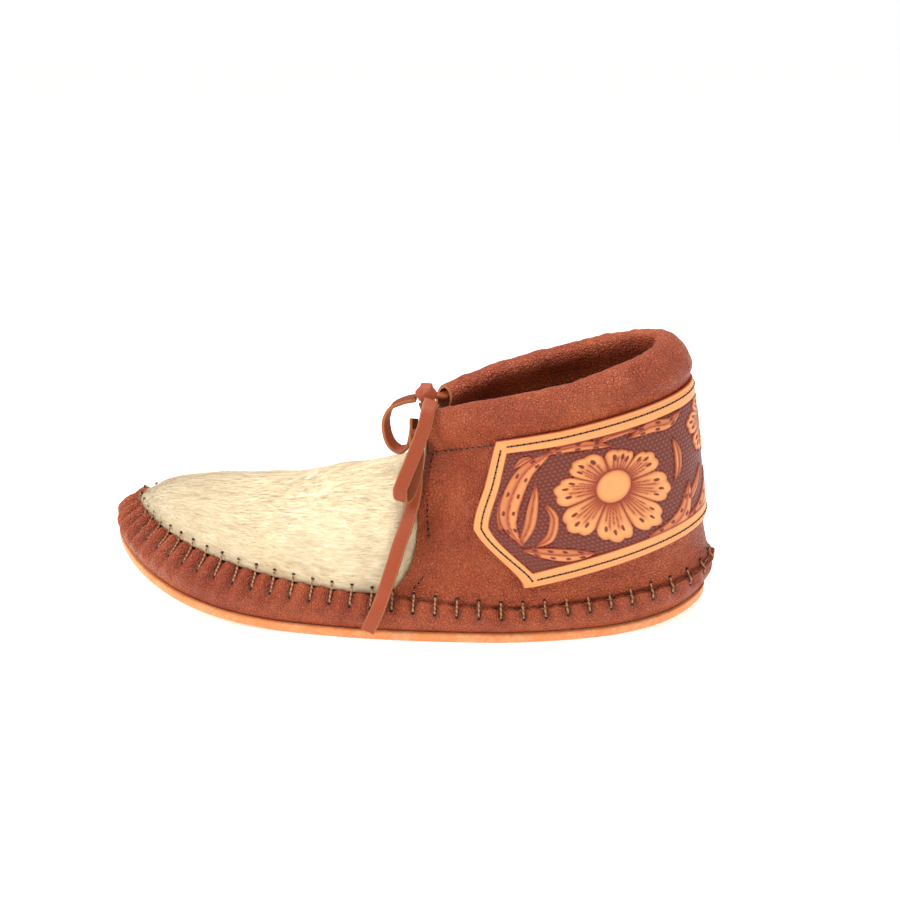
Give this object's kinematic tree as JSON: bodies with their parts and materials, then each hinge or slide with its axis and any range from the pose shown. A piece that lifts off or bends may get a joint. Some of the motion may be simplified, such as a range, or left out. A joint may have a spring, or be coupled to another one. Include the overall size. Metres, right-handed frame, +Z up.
{
  "type": "moccasin boot",
  "caption": "Low leather moccasin boot for the left foot, with a hair-on hide plug, rolled collar, tooled heel panel and a tied lace.",
  "frame": {"origin": "on the floor under the middle of the sole's length", "axes": "+X to the heel, +Y to the inner side of the foot, +Z up; the toe points to -X"},
  "size_m": [0.2826, 0.1075, 0.1245],
  "materials": {
    "outsole": "smooth sole leather, waxed",
    "insole": "plain flesh side",
    "upper": "pebbled full grain, semi-gloss",
    "plug_tongue": "short cream hair",
    "collar_roll": "pebbled full grain, semi-gloss",
    "heel_panel": "tooled vegetable-tanned, antiqued",
    "lace": "smooth on one side, suede on the other"
  },
  "bodies": {
    "root": {"outsole": "outsole", "insole": "insole", "upper": "upper", "plug_tongue": "plug_tongue", "collar_roll": "collar_roll", "heel_panel": "heel_panel", "lace_bar": "lace", "lace_knot": "lace", "lace_loop_long": "lace", "lace_loop_short": "lace", "lace_tail_outer": "lace", "lace_tail_inner": "lace"}
  },
  "joints": []
}
